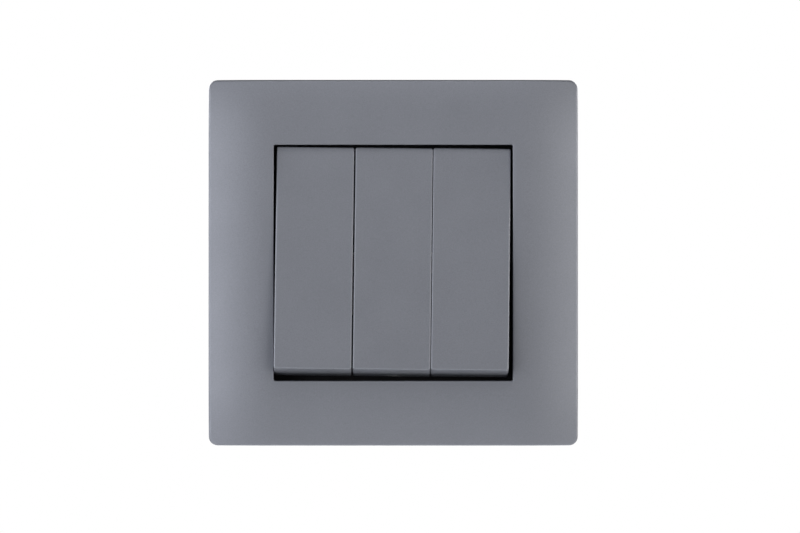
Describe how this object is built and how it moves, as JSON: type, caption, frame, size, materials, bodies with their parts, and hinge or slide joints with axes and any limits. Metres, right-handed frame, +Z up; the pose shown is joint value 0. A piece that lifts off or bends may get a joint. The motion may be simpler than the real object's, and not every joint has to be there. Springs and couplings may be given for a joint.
{
  "type": "rocker light switch with cover frame",
  "caption": "Square flush wall switch with tall rocker keys side by side in a bowed cover frame, on a steel yoke with a terminal case behind.",
  "frame": {"origin": "centre of the yoke's back face, on the wall plane", "axes": "+Y into the wall box, -Y to the room, +X right seen from the room, +Z up"},
  "size_m": [0.085, 0.0391, 0.0842],
  "materials": {
    "satin_grey": "satin metallic lacquer on moulded plastic",
    "black_moulding": "matt moulded",
    "case_moulding": "moulded thermoset",
    "white_moulding": "moulded",
    "zinc_steel": "zinc plated, stamped",
    "black_zinc_steel": "zinc plated and black passivated, stamped",
    "spring_steel": "drawn wire",
    "brass": "milled",
    "copper_alloy": "rolled strip",
    "silver_contact": "satin"
  },
  "bodies": {
    "mechanism": {"cover_frame": "satin_grey", "frame_carrier": "black_moulding", "mounting_yoke": "black_zinc_steel", "mechanism_cover": "black_moulding", "mechanism_housing": "case_moulding", "assembly_screws": "zinc_steel", "common_busbar": "brass", "fixed_contacts": "silver_contact", "terminal_block_common": "brass", "terminal_screws": "zinc_steel", "contact_strip_left": "copper_alloy", "terminal_block_left": "brass", "contact_strip_centre": "copper_alloy", "terminal_block_centre": "brass", "contact_strip_right": "copper_alloy", "terminal_block_right": "brass", "claw_screws": "zinc_steel"},
    "rocker_left": {"key_left": "satin_grey", "cradle_left": "white_moulding", "plunger_spring_left": "spring_steel"},
    "plunger_left": {"plunger_left": "white_moulding"},
    "blade_left": {"contact_blade_left": "copper_alloy", "moving_contact_left": "silver_contact"},
    "rocker_centre": {"key_centre": "satin_grey", "cradle_centre": "white_moulding", "plunger_spring_centre": "spring_steel"},
    "plunger_centre": {"plunger_centre": "white_moulding"},
    "blade_centre": {"contact_blade_centre": "copper_alloy", "moving_contact_centre": "silver_contact"},
    "rocker_right": {"key_right": "satin_grey", "cradle_right": "white_moulding", "plunger_spring_right": "spring_steel"},
    "plunger_right": {"plunger_right": "white_moulding"},
    "blade_right": {"contact_blade_right": "copper_alloy", "moving_contact_right": "silver_contact"},
    "claw_left": {"claw_left": "zinc_steel"},
    "claw_right": {"claw_right": "zinc_steel"}
  },
  "joints": [
    {"name": "rocker_left_tilt", "type": "hinge", "parent": "mechanism", "child": "rocker_left", "pos_m": [-0.0146, -0.004, 0], "axis": [1, 0, 0], "range_deg": [0, 12.3]},
    {"name": "plunger_left_slide", "type": "slide", "parent": "rocker_left", "child": "plunger_left", "axis": [0, -0.9942, 0.1071], "range_m": [0, 0.001], "stiffness_N_per_m": 250, "springref_m": -0.003, "deforming": ["plunger_spring_left"]},
    {"name": "blade_left_rock", "type": "hinge", "parent": "mechanism", "child": "blade_left", "pos_m": [-0.0146, 0.0122, 0], "axis": [1, 0, 0], "range_deg": [-12.3, 0]},
    {"name": "rocker_centre_tilt", "type": "hinge", "parent": "mechanism", "child": "rocker_centre", "pos_m": [0, -0.004, 0], "axis": [1, 0, 0], "range_deg": [0, 12.3]},
    {"name": "plunger_centre_slide", "type": "slide", "parent": "rocker_centre", "child": "plunger_centre", "axis": [0, -0.9942, 0.1071], "range_m": [0, 0.001], "stiffness_N_per_m": 250, "springref_m": -0.003, "deforming": ["plunger_spring_centre"]},
    {"name": "blade_centre_rock", "type": "hinge", "parent": "mechanism", "child": "blade_centre", "pos_m": [0, 0.0122, 0], "axis": [1, 0, 0], "range_deg": [-12.3, 0]},
    {"name": "rocker_right_tilt", "type": "hinge", "parent": "mechanism", "child": "rocker_right", "pos_m": [0.0146, -0.004, 0], "axis": [1, 0, 0], "range_deg": [0, 12.3]},
    {"name": "plunger_right_slide", "type": "slide", "parent": "rocker_right", "child": "plunger_right", "axis": [0, -0.9942, 0.1071], "range_m": [0, 0.001], "stiffness_N_per_m": 250, "springref_m": -0.003, "deforming": ["plunger_spring_right"]},
    {"name": "blade_right_rock", "type": "hinge", "parent": "mechanism", "child": "blade_right", "pos_m": [0.0146, 0.0122, 0], "axis": [1, 0, 0], "range_deg": [-12.3, 0]},
    {"name": "claw_left_spread", "type": "hinge", "parent": "mechanism", "child": "claw_left", "pos_m": [-0.0237, 0.001, 0.01], "axis": [0, 0, 1], "range_deg": [0, 15]},
    {"name": "claw_right_spread", "type": "hinge", "parent": "mechanism", "child": "claw_right", "pos_m": [0.0237, 0.001, -0.01], "axis": [0, 0, -1], "range_deg": [0, 15]}
  ],
  "couplings": [
    {"joint": "blade_left_rock", "follows": "rocker_left_tilt", "ratio": -1},
    {"joint": "blade_centre_rock", "follows": "rocker_centre_tilt", "ratio": -1},
    {"joint": "blade_right_rock", "follows": "rocker_right_tilt", "ratio": -1}
  ]
}
